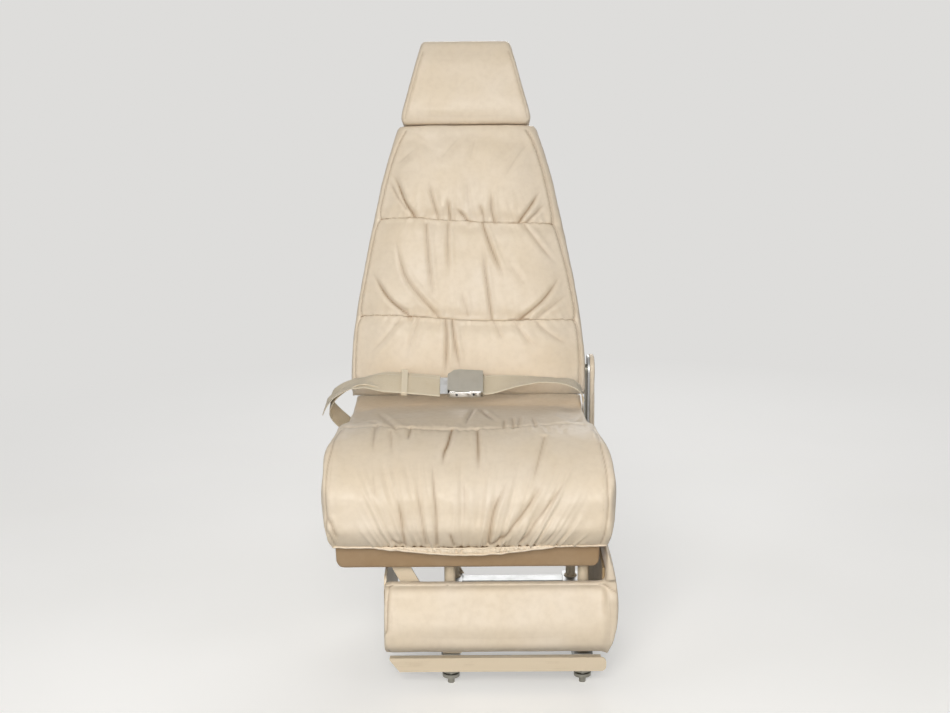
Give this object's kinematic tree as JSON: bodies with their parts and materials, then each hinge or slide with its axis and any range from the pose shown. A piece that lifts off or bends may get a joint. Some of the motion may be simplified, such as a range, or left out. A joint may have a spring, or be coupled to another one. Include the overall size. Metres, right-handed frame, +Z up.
{
  "type": "aircraft cabin seat",
  "caption": "Single reclining cabin seat on an offset padded pedestal, with raising headrest, drop-down aisle armrest and lift-latch lap belt.",
  "frame": {"origin": "middle of the four floor studs, level with the floor", "axes": "+X to the aisle side, the seat faces -Y, +Z up"},
  "size_m": [0.5242, 0.6715, 1.094],
  "materials": {
    "leather": "satin grain",
    "painted_frame": "satin",
    "plated_steel": "zinc plated",
    "clear_anodised": "clear anodised",
    "panel_board": "laminate",
    "webbing": "woven",
    "bright_chrome": "polished",
    "satin_nickel": "satin nickel",
    "cylinder_paint": "satin black",
    "lever_plastic": "fine texture"
  },
  "bodies": {
    "seat_base": {"aisle_board": "panel_board", "aisle_pad": "leather", "anchor_bolts": "plated_steel", "armrest_guide": "clear_anodised", "belt_anchors": "plated_steel", "belt_keeper": "webbing", "belt_left": "webbing", "belt_right": "webbing", "belt_tail": "webbing", "brace_bolts": "plated_steel", "buckle_base": "bright_chrome", "buckle_pins": "plated_steel", "buckle_tongue": "bright_chrome", "cylinder_hanger": "plated_steel", "cylinder_pin": "plated_steel", "diagonal_braces": "painted_frame", "floor_feet": "plated_steel", "front_cross_beam": "clear_anodised", "front_skirt": "leather", "kick_plate": "painted_frame", "left_floor_beam": "clear_anodised", "left_pivot_bracket": "plated_steel", "left_side_rail": "clear_anodised", "lever_pin": "plated_steel", "panel_standoffs": "clear_anodised", "pedestal_board": "panel_board", "pedestal_pad": "leather", "pivot_pins": "plated_steel", "posts": "painted_frame", "rear_cross_beam": "clear_anodised", "rear_floor_tie": "clear_anodised", "recline_cylinder": "cylinder_paint", "right_floor_beam": "clear_anodised", "right_pivot_bracket": "plated_steel", "right_side_rail": "clear_anodised", "seat_cushion": "leather", "seat_pan": "clear_anodised", "side_plate": "plated_steel", "side_skirts": "leather", "wall_board": "painted_frame"},
    "back": {"left_upright": "clear_anodised", "right_upright": "clear_anodised", "back_lower_bar": "clear_anodised", "back_upper_bar": "clear_anodised", "torque_tube": "clear_anodised", "back_pan": "clear_anodised", "back_cushion": "leather", "back_shell": "leather", "headrest_guides": "plated_steel"},
    "headrest": {"headrest_posts": "bright_chrome", "headrest_plate": "clear_anodised", "headrest_cushion": "leather"},
    "recline_rod": {"recline_rod": "bright_chrome", "rod_pin": "plated_steel"},
    "armrest_bar": {"armrest_bar": "plated_steel"},
    "armrest": {"armrest_core": "clear_anodised", "armrest_pad": "leather"},
    "release_lever": {"release_lever": "lever_plastic"},
    "buckle_lid": {"buckle_lid": "satin_nickel"}
  },
  "joints": [
    {"name": "back_recline", "type": "hinge", "parent": "seat_base", "child": "back", "pos_m": [-0.083, 0.21, 0.265], "axis": [-1, 0, 0], "range_deg": [0, 22]},
    {"name": "recline_rod_slide", "type": "slide", "parent": "seat_base", "child": "recline_rod", "axis": [0, -1, 0], "range_m": [0, 0.01722]},
    {"name": "headrest_height", "type": "slide", "parent": "back", "child": "headrest", "axis": [0, 0.2079, 0.9781], "range_m": [0, 0.06]},
    {"name": "armrest_lift", "type": "slide", "parent": "seat_base", "child": "armrest_bar", "axis": [0, 0, 1], "range_m": [0, 0.1]},
    {"name": "armrest_swing", "type": "hinge", "parent": "armrest_bar", "child": "armrest", "pos_m": [0.15, 0.242, 0.463], "axis": [-1, 0, 0], "range_deg": [0, 90]},
    {"name": "release_lever_pull", "type": "hinge", "parent": "seat_base", "child": "release_lever", "pos_m": [0.138, 0.192, 0.214], "axis": [1, 0, 0], "range_deg": [0, 20], "stiffness_Nm_per_rad": 0.6, "springref_deg": -11.46},
    {"name": "buckle_lift", "type": "hinge", "parent": "seat_base", "child": "buckle_lid", "pos_m": [-0.058, 0.10435, 0.46593], "axis": [0, 0.866, 0.5], "range_deg": [0, 70], "stiffness_Nm_per_rad": 0.05, "springref_deg": -17.19}
  ],
  "couplings": [
    {"joint": "recline_rod_slide", "follows": "back_recline", "m_per_rad": 0.044724}
  ]
}
